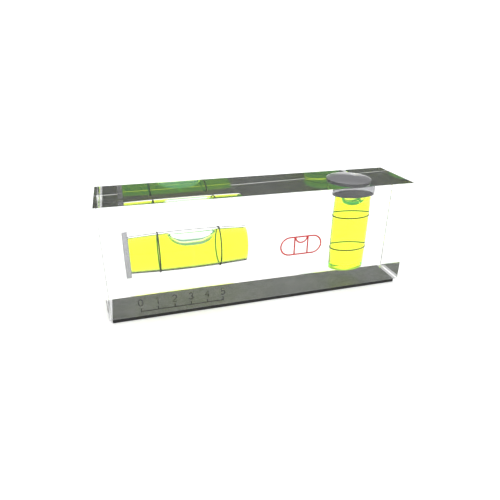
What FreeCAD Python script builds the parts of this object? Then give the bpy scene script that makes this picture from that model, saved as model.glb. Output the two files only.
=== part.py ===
import FreeCAD, Part
import math
import os
import Sketcher

# A clear acrylic pocket level. A polished block holds two liquid vials, bored straight into it:
# one lies along the block and shows level, the other stands upright and shows plumb. Under the
# block a strip of double-sided tape carries a rubber magnet sheet, which is the working face.
#
# Millimetres. X runs along the block, Y from the front face to the back one, Z up. The origin is
# on the underside of the magnet sheet, below the middle of the block.

DIMENSIONS = (
    ("block_length", 98.0, "acrylic block along X"),
    ("block_width", 20.0, "acrylic block along Y"),
    ("block_height", 35.0, "acrylic block along Z"),
    ("edge_chamfer", 0.2, "broken edge all round the block"),
    ("magnet_length", 95.5, "magnet sheet and tape along X"),
    ("magnet_width", 19.4, "magnet sheet and tape along Y"),
    ("magnet_thickness", 1.05, "rubber magnet sheet"),
    ("magnet_shift", -0.25, "sheet's middle from the block's middle, along X"),
    ("tape_thickness", 0.15, "tape between sheet and block"),
    ("barrel_radius", 6.4, "either vial at its fattest"),
    ("barrel_arc", 300.0, "radius of the vials' barrel curve along their length"),
    ("cone_depth", 1.8, "drill point at the blind end of either vial"),
    ("cap_radius", 7.2, "counterbore and the caps in it"),
    ("ring_radius", 6.5, "bottom of the paint-filled ring grooves"),
    ("ring_width", 0.4, "ring groove along its vial"),
    ("level_height", 17.5, "level vial's axis above the block's underside"),
    ("level_inset", 7.9, "block's left end to the liquid"),
    ("level_length", 35.4, "level vial's barrel"),
    ("level_cap_thickness", 1.5, "disc that seals the level vial"),
    ("level_ring_spacing", 18.4, "between the two rings of the level vial"),
    ("level_bubble_length", 14.6, "level bubble along X"),
    ("level_bubble_depth", 3.9, "level bubble's lowest point below the crown"),
    ("level_bubble_offset", 0.9, "level bubble from the vial's middle, towards +X"),
    ("level_bubble_spread", 9.0, "half axis across the vial of the bubble's underside"),
    ("level_bubble_back", 6.1, "radius of the bubble's back, under the crown"),
    ("crown_gap", 0.15, "film between the level bubble and the crown"),
    ("plumb_place", 30.7, "plumb vial's axis from the block's middle, along X"),
    ("plumb_cap_thickness", 4.2, "cap that seals the plumb vial, flush with the top"),
    ("plumb_length", 26.0, "plumb vial's barrel"),
    ("plumb_ring_spacing", 11.4, "between the two rings of the plumb vial"),
    ("plumb_ring_lift", 0.3, "rings' middle above the barrel's middle"),
    ("plumb_bubble_radius", 4.2, "plumb bubble where it meets the cap"),
    ("plumb_bubble_depth", 3.6, "plumb bubble along its vial"),
    ("bubble_room", 0.1, "clearance of either bubble in its liquid"),
    ("paint_depth", 0.1, "engraving of the marks on the front face, filled with paint"),
    ("symbol_place", 10.8, "vial symbol's middle from the block's middle, along X"),
    ("symbol_height", 17.5, "vial symbol's middle above the block's underside"),
    ("symbol_length", 14.0, "vial symbol along X"),
    ("symbol_depth", 6.4, "vial symbol along Z"),
    ("symbol_stroke", 0.5, "line width of the vial symbol"),
    ("symbol_gap", 4.4, "between the symbol's two cross lines"),
    ("scale_start", -39.5, "first line of the scale from the block's middle, along X"),
    ("scale_foot", 1.5, "foot of the scale's lines above the block's underside"),
    ("scale_pitch", 5.0, "between two numbered lines of the scale"),
    ("scale_line", 1.3, "numbered line's length"),
    ("scale_stroke", 0.3, "line width of the scale"),
)
NUMBERED_LINES = 6
AXIS_ALONG_X = FreeCAD.Rotation(FreeCAD.Vector(0, 1, 0), 90)

# Heights and places that several pieces share, as expressions of the sheet's cells.
BLOCK_FOOT = "(dims.magnet_thickness + dims.tape_thickness)"
BLOCK_TOP = f"({BLOCK_FOOT} + dims.block_height)"
BLOCK_LEFT = "(-dims.block_length / 2)"
BLOCK_FRONT = "(-dims.block_width / 2)"
LEVEL_AXIS = f"({BLOCK_FOOT} + dims.level_height)"
LEVEL_START = f"({BLOCK_LEFT} + dims.level_inset)"
LEVEL_MIDDLE = f"({LEVEL_START} + dims.level_length / 2)"
LEVEL_CROWN = f"({LEVEL_AXIS} + dims.barrel_radius)"
LEVEL_BUBBLE_PLACE = f"({LEVEL_MIDDLE} + dims.level_bubble_offset)"
PLUMB_START = f"({BLOCK_TOP} - dims.plumb_cap_thickness)"
PLUMB_MIDDLE = f"({PLUMB_START} - dims.plumb_length / 2)"


def make_sheet(doc):
    """The driving dimensions, one to a row: what it is, its value, and the alias it goes by."""
    sheet = doc.addObject("Spreadsheet::Sheet", "dims")
    for row, (alias, value, meaning) in enumerate(DIMENSIONS, start=1):
        sheet.set(f"A{row}", meaning)
        sheet.set(f"B{row}", str(value))
        sheet.setAlias(f"B{row}", alias)
    doc.recompute()


def bind(item, expressions):
    """Ties each named property of item to an expression of the sheet's cells."""
    for path, expression in expressions.items():
        item.setExpression(path, expression)


def origin_plane(body, role):
    """One of a body's own origin planes, by its role."""
    return next(plane for plane in body.Origin.OriginFeatures if plane.Role == role)


def named(sketch, name, constraint):
    """Adds a constraint to a sketch under a name, so that an expression can drive it."""
    sketch.addConstraint(constraint)
    sketch.renameConstraint(sketch.ConstraintCount - 1, name)


def padded_rectangle(doc, label, length, width, thickness, shift, foot):
    """A body padded up from a rectangle that is centred on the X axis. Returns it and its pad."""
    body = doc.addObject("PartDesign::Body", label)
    sketch = body.newObject("Sketcher::SketchObject", f"{label}_outline")
    sketch.AttachmentSupport = (origin_plane(body, "XY_Plane"), [""])
    sketch.MapMode = "FlatFace"
    corners = [FreeCAD.Vector(x, y, 0) for x, y in ((-5, -1), (5, -1), (5, 1), (-5, 1))]
    for start, end in zip(corners, corners[1:] + corners[:1]):
        sketch.addGeometry(Part.LineSegment(start, end), False)
    for side in range(4):
        sketch.addConstraint(Sketcher.Constraint("Coincident", side, 2, (side + 1) % 4, 1))
    for level_side, upright_side in ((0, 1), (2, 3)):
        sketch.addConstraint(Sketcher.Constraint("Horizontal", level_side))
        sketch.addConstraint(Sketcher.Constraint("Vertical", upright_side))
    sketch.addConstraint(Sketcher.Constraint("Symmetric", 0, 1, 1, 2, -1, 1))
    named(sketch, "length", Sketcher.Constraint("DistanceX", 0, 1, 0, 2, 10.0))
    named(sketch, "width", Sketcher.Constraint("DistanceY", 1, 1, 1, 2, 2.0))
    bind(sketch, {"Constraints.length": length, "Constraints.width": width})
    pad = body.newObject("PartDesign::Pad", f"{label}_pad")
    pad.Profile = sketch
    bind(pad, {"Length": thickness})
    bind(body, {"Placement.Base.x": shift, "Placement.Base.z": foot})
    return body, pad


def block_blank(doc):
    """The sawn and polished block with its edges broken, before it is bored."""
    body, pad = padded_rectangle(
        doc, "block_blank", "dims.block_length", "dims.block_width", "dims.block_height", "0", BLOCK_FOOT
    )
    doc.recompute()
    chamfer = body.newObject("PartDesign::Chamfer", "broken_edges")
    chamfer.Base = (pad, [f"Edge{number}" for number in range(1, len(pad.Shape.Edges) + 1)])
    bind(chamfer, {"Size": "dims.edge_chamfer"})
    body.Tip = chamfer
    return body


def vial_cavity(doc, name, barrel_length):
    """The space in a vial: a barrel with a slow curve along its length and a drill point.

    It is turned about its local X axis and starts at its local origin."""
    end_radius = (
        f"dims.barrel_radius - dims.barrel_arc + sqrt(dims.barrel_arc ^ 2 - ({barrel_length} / 2) ^ 2)"
    )
    body = doc.addObject("PartDesign::Body", name)
    sketch = body.newObject("Sketcher::SketchObject", f"{name}_profile")
    sketch.AttachmentSupport = (origin_plane(body, "XZ_Plane"), [""])
    sketch.MapMode = "FlatFace"
    start, shoulder = FreeCAD.Vector(0, 0, 0), FreeCAD.Vector(0, 5.9, 0)
    end, tip = FreeCAD.Vector(30, 5.9, 0), FreeCAD.Vector(31.8, 0, 0)
    half_sweep = math.asin(15 / 300)
    centre = FreeCAD.Vector(15, 5.9 - 300 * math.cos(half_sweep), 0)
    circle = Part.Circle(centre, FreeCAD.Vector(0, 0, 1), 300)
    arc = Part.ArcOfCircle(circle, math.pi / 2 - half_sweep, math.pi / 2 + half_sweep)
    sketch.addGeometry(Part.LineSegment(start, shoulder), False)
    sketch.addGeometry(arc, False)
    sketch.addGeometry(Part.LineSegment(end, tip), False)
    sketch.addGeometry(Part.LineSegment(tip, start), False)
    sketch.addConstraint(Sketcher.Constraint("Coincident", 0, 1, -1, 1))
    sketch.addConstraint(Sketcher.Constraint("Coincident", 0, 2, 1, 2))
    sketch.addConstraint(Sketcher.Constraint("Coincident", 1, 1, 2, 1))
    sketch.addConstraint(Sketcher.Constraint("Coincident", 2, 2, 3, 1))
    sketch.addConstraint(Sketcher.Constraint("Coincident", 3, 2, 0, 1))
    sketch.addConstraint(Sketcher.Constraint("Vertical", 0))
    sketch.addConstraint(Sketcher.Constraint("Horizontal", 3))
    sketch.addConstraint(Sketcher.Constraint("Horizontal", 0, 2, 2, 1))
    named(sketch, "end_radius", Sketcher.Constraint("DistanceY", 0, 1, 0, 2, 5.9))
    named(sketch, "barrel_length", Sketcher.Constraint("DistanceX", 0, 2, 2, 1, 30.0))
    named(sketch, "cone_depth", Sketcher.Constraint("DistanceX", 2, 1, 2, 2, 1.8))
    named(sketch, "barrel_arc", Sketcher.Constraint("Radius", 1, 300.0))
    bind(sketch, {
        "Constraints.end_radius": end_radius,
        "Constraints.barrel_length": barrel_length,
        "Constraints.cone_depth": "dims.cone_depth",
        "Constraints.barrel_arc": "dims.barrel_arc",
    })
    turned = body.newObject("PartDesign::Revolution", f"{name}_turned")
    turned.Profile = sketch
    turned.ReferenceAxis = (sketch, ["H_Axis"])
    turned.Angle = 360.0
    return body


def cylinder_along_x(doc, name, radius, length, start):
    """A cylinder on the level vial's axis, from start towards +X."""
    rod = doc.addObject("Part::Cylinder", name)
    rod.Placement = FreeCAD.Placement(FreeCAD.Vector(), AXIS_ALONG_X)
    bind(rod, {
        "Radius": radius,
        "Height": length,
        "Placement.Base.x": start,
        "Placement.Base.z": LEVEL_AXIS,
    })
    return rod


def cylinder_on_plumb_axis(doc, name, radius, length, foot):
    """A cylinder on the plumb vial's axis, from foot upwards."""
    rod = doc.addObject("Part::Cylinder", name)
    bind(rod, {
        "Radius": radius,
        "Height": length,
        "Placement.Base.x": "dims.plumb_place",
        "Placement.Base.z": foot,
    })
    return rod


def cut(doc, label, base, tool):
    """base with tool taken away from it."""
    result = doc.addObject("Part::Cut", label)
    result.Base = base
    result.Tool = tool
    return result


def fused(doc, label, pieces):
    """Several pieces as one."""
    result = doc.addObject("Part::MultiFuse", label)
    result.Shapes = pieces
    return result


def level_vial(doc):
    """The level vial's pieces. Returns the sub-parts and what the block has to be cut by."""
    cavity = vial_cavity(doc, "level_cavity", "dims.level_length")
    bind(cavity, {"Placement.Base.x": LEVEL_START, "Placement.Base.z": LEVEL_AXIS})
    blanks = []
    rings = []
    for side, sign in (("left", "-"), ("right", "+")):
        place = f"{LEVEL_MIDDLE} {sign} dims.level_ring_spacing / 2 - dims.ring_width / 2"
        blank = cylinder_along_x(doc, f"level_groove_{side}", "dims.ring_radius", "dims.ring_width", place)
        blanks.append(blank)
        rings.append(cut(doc, f"level_ring_{side}", blank, cavity))
    cap = cylinder_along_x(
        doc, "level_cap", "dims.cap_radius", "dims.level_cap_thickness",
        f"{LEVEL_START} - dims.level_cap_thickness"
    )
    plug = cylinder_along_x(
        doc, "level_end_plug", "dims.cap_radius", "dims.level_inset - dims.level_cap_thickness", BLOCK_LEFT
    )
    bubble, room = level_bubble(doc)
    liquid = cut(doc, "level_liquid", cavity, room)
    return [*rings, cap, plug, liquid, bubble], [cavity, *blanks, cap, plug]


def ellipsoid(doc, name, upright, along, across, place, height):
    """An ellipsoid with its half axes along Z, X and Y."""
    egg = doc.addObject("Part::Ellipsoid", name)
    bind(egg, {
        "Radius1": upright,
        "Radius2": along,
        "Radius3": across,
        "Placement.Base.x": place,
        "Placement.Base.z": height,
    })
    return egg


def level_bubble(doc):
    """The long bubble under the level vial's crown, and the room for it in the liquid."""
    top = f"({LEVEL_CROWN} - dims.crown_gap)"
    half_length = "dims.level_bubble_length / 2"
    underside = ellipsoid(
        doc, "level_bubble_underside", "dims.level_bubble_depth", half_length,
        "dims.level_bubble_spread", LEVEL_BUBBLE_PLACE, top
    )
    back = cylinder_along_x(
        doc, "level_bubble_under_crown", "dims.level_bubble_back", "dims.level_bubble_length * 2",
        f"{LEVEL_BUBBLE_PLACE} - dims.level_bubble_length"
    )
    bind(back, {"Placement.Base.z": f"{top} - dims.level_bubble_back"})
    bubble = doc.addObject("Part::MultiCommon", "level_bubble")
    bubble.Shapes = [back, underside]
    room = ellipsoid(
        doc, "level_bubble_room", "dims.level_bubble_depth + dims.bubble_room",
        f"{half_length} + dims.bubble_room", "dims.level_bubble_spread + dims.bubble_room",
        LEVEL_BUBBLE_PLACE, top
    )
    return bubble, room


def plumb_vial(doc):
    """The plumb vial's pieces. Returns the sub-parts and what the block has to be cut by."""
    cavity = vial_cavity(doc, "plumb_cavity", "dims.plumb_length")
    cavity.Placement = FreeCAD.Placement(FreeCAD.Vector(), AXIS_ALONG_X)
    bind(cavity, {"Placement.Base.x": "dims.plumb_place", "Placement.Base.z": PLUMB_START})
    blanks = []
    rings = []
    for end, sign in (("upper", "+"), ("lower", "-")):
        middle = f"{PLUMB_MIDDLE} + dims.plumb_ring_lift {sign} dims.plumb_ring_spacing / 2"
        blank = cylinder_on_plumb_axis(
            doc, f"plumb_groove_{end}", "dims.ring_radius", "dims.ring_width",
            f"{middle} - dims.ring_width / 2"
        )
        blanks.append(blank)
        rings.append(cut(doc, f"plumb_ring_{end}", blank, cavity))
    cap = cylinder_on_plumb_axis(
        doc, "plumb_cap", "dims.cap_radius", "dims.plumb_cap_thickness", PLUMB_START
    )
    bubble = ellipsoid(
        doc, "plumb_bubble", "dims.plumb_bubble_depth", "dims.plumb_bubble_radius",
        "dims.plumb_bubble_radius", "dims.plumb_place", f"{PLUMB_START} - dims.bubble_room"
    )
    bubble.Angle2 = 0.0
    room = ellipsoid(
        doc, "plumb_bubble_room", "dims.plumb_bubble_depth + 2 * dims.bubble_room",
        "dims.plumb_bubble_radius + dims.bubble_room", "dims.plumb_bubble_radius + dims.bubble_room",
        "dims.plumb_place", PLUMB_START
    )
    liquid = cut(doc, "plumb_liquid", cavity, room)
    return [*rings, cap, liquid, bubble], [cavity, *blanks, cap]


def paint_bar(doc, name, length, height, place, foot):
    """A straight line of paint in the front face, from place towards +X and from foot upwards."""
    bar = doc.addObject("Part::Box", name)
    bind(bar, {
        "Length": length,
        "Width": "dims.paint_depth",
        "Height": height,
        "Placement.Base.x": place,
        "Placement.Base.y": BLOCK_FRONT,
        "Placement.Base.z": foot,
    })
    return bar


def paint_disc(doc, name, radius, place, height):
    """A round field of paint in the front face."""
    disc = doc.addObject("Part::Cylinder", name)
    disc.Placement = FreeCAD.Placement(FreeCAD.Vector(), FreeCAD.Rotation(FreeCAD.Vector(1, 0, 0), -90))
    bind(disc, {
        "Radius": radius,
        "Height": "dims.paint_depth",
        "Placement.Base.x": place,
        "Placement.Base.y": BLOCK_FRONT,
        "Placement.Base.z": height,
    })
    return disc


def capsule(doc, name, shrink, middle):
    """A filled outline of the vial symbol, with round ends, smaller all round by shrink."""
    radius = f"(dims.symbol_depth / 2 - {shrink})"
    reach = "(dims.symbol_length - dims.symbol_depth) / 2"
    ends = [
        paint_disc(doc, f"{name}_{side}", radius, f"dims.symbol_place {sign} {reach}", middle)
        for side, sign in (("left", "-"), ("right", "+"))
    ]
    waist = paint_bar(
        doc, f"{name}_waist", f"2 * {reach}", f"2 * {radius}",
        f"dims.symbol_place - {reach}", f"{middle} - {radius}"
    )
    return fused(doc, name, [waist, *ends])


def vial_symbol(doc):
    """The outline of a vial with two cross lines and a bubble, in red paint."""
    middle = f"({BLOCK_FOOT} + dims.symbol_height)"
    outline = cut(
        doc, "symbol_outline",
        capsule(doc, "symbol_outside", "0", middle),
        capsule(doc, "symbol_inside", "dims.symbol_stroke", middle)
    )
    clear_height = "(dims.symbol_depth - dims.symbol_stroke)"
    lines = [
        paint_bar(
            doc, f"symbol_line_{side}", "dims.symbol_stroke", clear_height,
            f"dims.symbol_place {sign} dims.symbol_gap / 2 - dims.symbol_stroke / 2",
            f"{middle} - {clear_height} / 2"
        )
        for side, sign in (("left", "-"), ("right", "+"))
    ]
    crown = f"({middle} + dims.symbol_depth / 2 - dims.symbol_stroke / 2)"
    bubble = cut(
        doc, "symbol_bubble_ring",
        paint_disc(doc, "symbol_bubble_outside", "dims.symbol_gap / 2", "dims.symbol_place", crown),
        paint_disc(
            doc, "symbol_bubble_inside", "dims.symbol_gap / 2 - dims.symbol_stroke",
            "dims.symbol_place", crown
        )
    )
    above = paint_bar(
        doc, "symbol_bubble_above", "dims.symbol_length", "dims.symbol_depth",
        "dims.symbol_place - dims.symbol_length / 2", crown
    )
    return fused(doc, "vial_symbol", [outline, *lines, cut(doc, "symbol_bubble", bubble, above)])


def scale_lines(doc):
    """The upright lines of a short scale, each under its number, in dark paint."""
    foot = f"({BLOCK_FOOT} + dims.scale_foot)"
    bars = [
        paint_bar(
            doc, f"scale_line_{number}", "dims.scale_stroke", "dims.scale_line",
            f"dims.scale_start + {number} * dims.scale_pitch - dims.scale_stroke / 2", foot
        )
        for number in range(NUMBERED_LINES)
    ]
    baseline = paint_bar(
        doc, "scale_baseline", f"{NUMBERED_LINES - 1} * dims.scale_pitch + dims.scale_stroke",
        "dims.scale_stroke", "dims.scale_start - dims.scale_stroke / 2", foot
    )
    return fused(doc, "scale_lines", [baseline, *bars])


def magnet_and_tape(doc):
    """The rubber magnet sheet on the underside and the tape that holds it."""
    magnet, _ = padded_rectangle(
        doc, "magnet_sheet", "dims.magnet_length", "dims.magnet_width", "dims.magnet_thickness",
        "dims.magnet_shift", "0"
    )
    tape, _ = padded_rectangle(
        doc, "adhesive_tape", "dims.magnet_length", "dims.magnet_width", "dims.tape_thickness",
        "dims.magnet_shift", "dims.magnet_thickness"
    )
    return [magnet, tape]


def build(doc):
    """Makes every sub-part and returns them."""
    make_sheet(doc)
    level_parts, level_tools = level_vial(doc)
    plumb_parts, plumb_tools = plumb_vial(doc)
    marks = [vial_symbol(doc), scale_lines(doc)]
    bores = fused(doc, "bores_and_engraving", [*level_tools, *plumb_tools, *marks])
    block = cut(doc, "acrylic_block", block_blank(doc), bores)
    parts = [block, *level_parts, *plumb_parts, *marks, *magnet_and_tape(doc)]
    doc.recompute()
    return parts


def check(doc, parts):
    """Stops if an object failed, or a sub-part has no valid solid."""
    for item in doc.Objects:
        if {"Invalid", "Error"} & set(item.State):
            raise RuntimeError(f"{item.Label} failed: {item.State}")
    for part in parts:
        if part.Shape.isNull() or not part.Shape.isValid() or not part.Shape.Solids:
            raise RuntimeError(f"{part.Label} has no valid solid")


def export(parts):
    """Writes one STEP file for each sub-part and prints its size."""
    os.makedirs("parts", exist_ok=True)
    for part in parts:
        part.Shape.exportStep(f"parts/{part.Label}.step")
        box = part.Shape.BoundBox
        print(
            f"{part.Label:18s} {part.Shape.Volume:10.2f} mm3  {len(part.Shape.Solids)} solid(s)  "
            f"{box.XLength:.2f} x {box.YLength:.2f} x {box.ZLength:.2f} from "
            f"({box.XMin:.2f}, {box.YMin:.2f}, {box.ZMin:.2f})"
        )


document = FreeCAD.newDocument("acrylic_level")
sub_parts = build(document)
check(document, sub_parts)
export(sub_parts)
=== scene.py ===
"""Clear acrylic pocket level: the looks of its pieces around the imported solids."""

import math
import random

import bmesh
import bpy
from mathutils import Matrix, Vector


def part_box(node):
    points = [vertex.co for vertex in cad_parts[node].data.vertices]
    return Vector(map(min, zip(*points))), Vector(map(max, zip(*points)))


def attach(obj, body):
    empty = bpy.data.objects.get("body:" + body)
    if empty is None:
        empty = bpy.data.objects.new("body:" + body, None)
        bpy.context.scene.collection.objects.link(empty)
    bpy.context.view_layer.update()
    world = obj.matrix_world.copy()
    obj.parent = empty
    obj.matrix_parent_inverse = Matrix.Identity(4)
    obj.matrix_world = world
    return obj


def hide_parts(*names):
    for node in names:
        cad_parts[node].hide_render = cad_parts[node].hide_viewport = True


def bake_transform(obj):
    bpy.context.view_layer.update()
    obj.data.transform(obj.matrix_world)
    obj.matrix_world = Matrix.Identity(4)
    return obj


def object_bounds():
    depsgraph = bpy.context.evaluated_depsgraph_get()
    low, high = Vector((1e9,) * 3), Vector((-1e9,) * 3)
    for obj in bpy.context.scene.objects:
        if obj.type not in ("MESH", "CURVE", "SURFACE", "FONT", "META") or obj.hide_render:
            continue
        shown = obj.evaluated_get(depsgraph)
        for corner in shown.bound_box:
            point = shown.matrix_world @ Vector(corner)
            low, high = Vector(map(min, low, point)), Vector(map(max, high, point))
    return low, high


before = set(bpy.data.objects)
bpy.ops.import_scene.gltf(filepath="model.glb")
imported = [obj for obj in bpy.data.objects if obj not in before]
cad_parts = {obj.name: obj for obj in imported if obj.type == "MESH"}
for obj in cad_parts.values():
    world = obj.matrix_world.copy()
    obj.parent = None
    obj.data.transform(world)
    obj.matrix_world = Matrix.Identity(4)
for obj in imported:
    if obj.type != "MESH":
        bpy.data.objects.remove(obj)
CAD_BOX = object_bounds()
SOLID_BOXES = {node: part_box(node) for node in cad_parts}

bl_info = {
    "name": "Acrylic Pocket Level",
    "version": (1, 0, 0),
    "blender": (4, 5, 0),
    "location": "View3D > Sidebar > Pocket Level",
    "description": "Builds a clear acrylic pocket level with two spirit vials",
    "category": "Add Mesh",
}

MM = 0.001
AROUND = 128  # facets round a turned piece
FILM = 0.00002  # spirit and caps keep this far from the surfaces that they touch


def middle_of(node):
    """Middle of a solid's box."""
    low, high = SOLID_BOXES[node]
    return (low + high) / 2


def size_of(node):
    """Sizes of a solid's box."""
    low, high = SOLID_BOXES[node]
    return high - low


class BlockSizes(bpy.types.PropertyGroup):
    """Sizes of the acrylic block and of what closes its bores."""

    edge_bevel: bpy.props.FloatProperty(
        name="Edge bevel", description="Width of the broken edge all round the block",
        default=0.2 * MM, min=0.05 * MM, max=1.0 * MM, unit="LENGTH", precision=5,
    )
    cap_edge: bpy.props.FloatProperty(
        name="Cap edge", description="Rounding of the caps' edges",
        default=0.15 * MM, min=0.02 * MM, max=0.6 * MM, unit="LENGTH", precision=5,
    )
    numeral_height: bpy.props.FloatProperty(
        name="Numeral height", description="Height of the scale's numerals",
        default=2.6 * MM, min=1.0 * MM, max=3.0 * MM, unit="LENGTH", precision=5,
    )
    numeral_stroke: bpy.props.FloatProperty(
        name="Numeral stroke", description="Line width of the scale's numerals",
        default=0.32 * MM, min=0.1 * MM, max=0.6 * MM, unit="LENGTH", precision=5,
    )
    paint_proud: bpy.props.FloatProperty(
        name="Paint proud", description="How far the paint in the marks stands out of the face",
        default=0.012 * MM, min=0.0, max=0.05 * MM, unit="LENGTH", precision=6,
    )


class VialSizes(bpy.types.PropertyGroup):
    """Sizes of the two vials that the solids' boxes do not give."""

    barrel_arc: bpy.props.FloatProperty(
        name="Barrel arc", description="Radius of the barrel curve along a vial",
        default=300 * MM, min=100 * MM, max=2.0, unit="LENGTH", precision=4,
    )
    barrel_radius: bpy.props.FloatProperty(
        name="Barrel radius", description="Radius of either vial at its fattest",
        default=6.4 * MM, min=4 * MM, max=7 * MM, unit="LENGTH", precision=5,
    )
    cone_depth: bpy.props.FloatProperty(
        name="Drill point", description="Depth of the drill point at a vial's blind end",
        default=1.8 * MM, min=0.2 * MM, max=4 * MM, unit="LENGTH", precision=5,
    )
    bubble_back: bpy.props.FloatProperty(
        name="Bubble back", description="Radius of the level bubble's back under the crown",
        default=6.1 * MM, min=4 * MM, max=6.4 * MM, unit="LENGTH", precision=5,
    )
    bubble_spread: bpy.props.FloatProperty(
        name="Bubble spread", description="Half axis across the vial of the level bubble's underside",
        default=22.0 * MM, min=6 * MM, max=60 * MM, unit="LENGTH", precision=5,
    )
    bubble_ends: bpy.props.FloatProperty(
        name="Bubble ends", description="How squarely the level bubble's underside turns up at its ends",
        default=2.3, min=2.0, max=4.0,
    )
    meniscus: bpy.props.FloatProperty(
        name="Meniscus", description="Rounding of a bubble's rim",
        default=0.3 * MM, min=0.05 * MM, max=1.0 * MM, unit="LENGTH", precision=5,
    )


class FinishColours(bpy.types.PropertyGroup):
    """Colours of the finishes."""

    spirit: bpy.props.FloatVectorProperty(
        name="Spirit", description="Colour that the spirit lets through",
        subtype="COLOR", size=3, default=(0.987, 1.0, 0.0), min=0, max=1,
    )
    # Colour of a painted glow: the spirit emits a faint light of its own in this colour, whatever the lamps do.
    spirit_painted_glow: bpy.props.FloatVectorProperty(
        name="Spirit painted glow", description="Colour of the spirit's fluorescent dye",
        subtype="COLOR", size=3, default=(0.06, 1.0, 0.6), min=0, max=1,
    )
    cap: bpy.props.FloatVectorProperty(
        name="Caps", description="Milky plastic of the caps",
        subtype="COLOR", size=3, default=(0.52, 0.52, 0.545), min=0, max=1,
    )
    ring: bpy.props.FloatVectorProperty(
        name="Ring paint", description="Paint in the ring grooves",
        subtype="COLOR", size=3, default=(0.012, 0.016, 0.008), min=0, max=1,
    )
    symbol: bpy.props.FloatVectorProperty(
        name="Symbol paint", description="Paint of the vial symbol",
        subtype="COLOR", size=3, default=(0.55, 0.01, 0.012), min=0, max=1,
    )
    scale: bpy.props.FloatVectorProperty(
        name="Scale paint", description="Paint of the scale",
        subtype="COLOR", size=3, default=(0.02, 0.02, 0.022), min=0, max=1,
    )
    tape: bpy.props.FloatVectorProperty(
        name="Tape", description="Grey adhesive tape under the block",
        subtype="COLOR", size=3, default=(0.075, 0.079, 0.074), min=0, max=1,
    )
    magnet: bpy.props.FloatVectorProperty(
        name="Magnet", description="Rubber magnet sheet",
        subtype="COLOR", size=3, default=(0.006, 0.006, 0.006), min=0, max=1,
    )


class StudioSettings(bpy.types.PropertyGroup):
    """Camera and light of the stage."""

    eye: bpy.props.FloatVectorProperty(
        name="Eye", description="Place of the camera",
        subtype="TRANSLATION", size=3, unit="LENGTH", default=(-0.040469, -0.121477, 0.074858),
    )
    azimuth: bpy.props.FloatProperty(
        name="Azimuth", description="Turn of the camera round the block",
        default=math.radians(-17.206), subtype="ANGLE",
    )
    elevation: bpy.props.FloatProperty(
        name="Elevation", description="How steeply the camera looks down",
        default=math.radians(25.542), subtype="ANGLE",
    )
    roll: bpy.props.FloatProperty(
        name="Roll", description="Tilt of the camera about its own line of sight",
        default=math.radians(0.996), subtype="ANGLE",
    )
    lens: bpy.props.FloatProperty(
        name="Lens", description="Focal length on a 36 mm wide sensor", default=30.715, min=10, max=200,
    )
    light: bpy.props.FloatProperty(
        name="Light", description="Brightness of the soft light overhead", default=2.0, min=0, max=20,
    )


# Node graphs

def add_node(tree, kind, inputs=None, **settings):
    """A node with its settings and inputs; an input is a value or the socket that feeds it."""
    node = tree.nodes.new(kind)
    for name, value in settings.items():
        setattr(node, name, value)
    for name, value in (inputs or {}).items():
        if isinstance(value, bpy.types.NodeSocket):
            tree.links.new(value, node.inputs[name])
        else:
            node.inputs[name].default_value = value
    return node


def new_group(name, kind, inputs, outputs):
    """An empty node group with named sockets. Returns the tree, its input node and its output node."""
    tree = bpy.data.node_groups.new(name, kind)
    for side, sockets in (("INPUT", inputs), ("OUTPUT", outputs)):
        for label, socket_type, default in sockets:
            socket = tree.interface.new_socket(name=label, in_out=side, socket_type=socket_type)
            if default is not None:
                socket.default_value = default
    return tree, tree.nodes.new("NodeGroupInput"), tree.nodes.new("NodeGroupOutput")


def cloudy_group():
    """Soft clouds between two values, for gloss that is not quite even."""
    tree, given, out = new_group(
        "soft_clouds", "ShaderNodeTree",
        [("Vector", "NodeSocketVector", None), ("Scale", "NodeSocketFloat", 100.0),
         ("Low", "NodeSocketFloat", 0.0), ("High", "NodeSocketFloat", 1.0)],
        [("Value", "NodeSocketFloat", None)],
    )
    clouds = add_node(tree, "ShaderNodeTexNoise", {
        "Vector": given.outputs["Vector"], "Scale": given.outputs["Scale"], "Detail": 3.0,
    })
    spread = add_node(tree, "ShaderNodeMapRange", {
        "Value": clouds.outputs["Fac"], "From Min": 0.35, "From Max": 0.65,
        "To Min": given.outputs["Low"], "To Max": given.outputs["High"],
    })
    tree.links.new(spread.outputs["Result"], out.inputs["Value"])
    return tree


def speckle_group():
    """Fine flecks of a second colour in a first, with the flecks' mask."""
    tree, given, out = new_group(
        "fine_speckle", "ShaderNodeTree",
        [("Vector", "NodeSocketVector", None), ("Scale", "NodeSocketFloat", 3000.0),
         ("Share", "NodeSocketFloat", 0.5), ("Ground", "NodeSocketColor", None),
         ("Fleck", "NodeSocketColor", None)],
        [("Color", "NodeSocketColor", None), ("Mask", "NodeSocketFloat", None)],
    )
    grain = add_node(tree, "ShaderNodeTexNoise", {
        "Vector": given.outputs["Vector"], "Scale": given.outputs["Scale"],
        "Detail": 2.0, "Roughness": 0.7,
    })
    edge = add_node(tree, "ShaderNodeMath", {0: 0.75, 1: given.outputs["Share"]}, operation="SUBTRACT")
    mask = add_node(tree, "ShaderNodeMapRange", {
        "Value": grain.outputs["Fac"], "From Min": edge.outputs[0], "From Max": 0.72,
    })
    colour = tree.nodes.new("ShaderNodeMix")
    colour.data_type = "RGBA"
    tree.links.new(mask.outputs["Result"], colour.inputs[0])
    tree.links.new(given.outputs["Ground"], colour.inputs[6])
    tree.links.new(given.outputs["Fleck"], colour.inputs[7])
    tree.links.new(colour.outputs[2], out.inputs["Color"])
    tree.links.new(mask.outputs["Result"], out.inputs["Mask"])
    return tree


def relief_group():
    """A fine uneven height, for a surface that is moulded or rolled."""
    tree, given, out = new_group(
        "fine_relief", "ShaderNodeTree",
        [("Vector", "NodeSocketVector", None), ("Scale", "NodeSocketFloat", 1000.0)],
        [("Height", "NodeSocketFloat", None)],
    )
    grain = add_node(tree, "ShaderNodeTexNoise", {
        "Vector": given.outputs["Vector"], "Scale": given.outputs["Scale"], "Detail": 4.0,
    })
    tree.links.new(grain.outputs["Fac"], out.inputs["Height"])
    return tree


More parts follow.
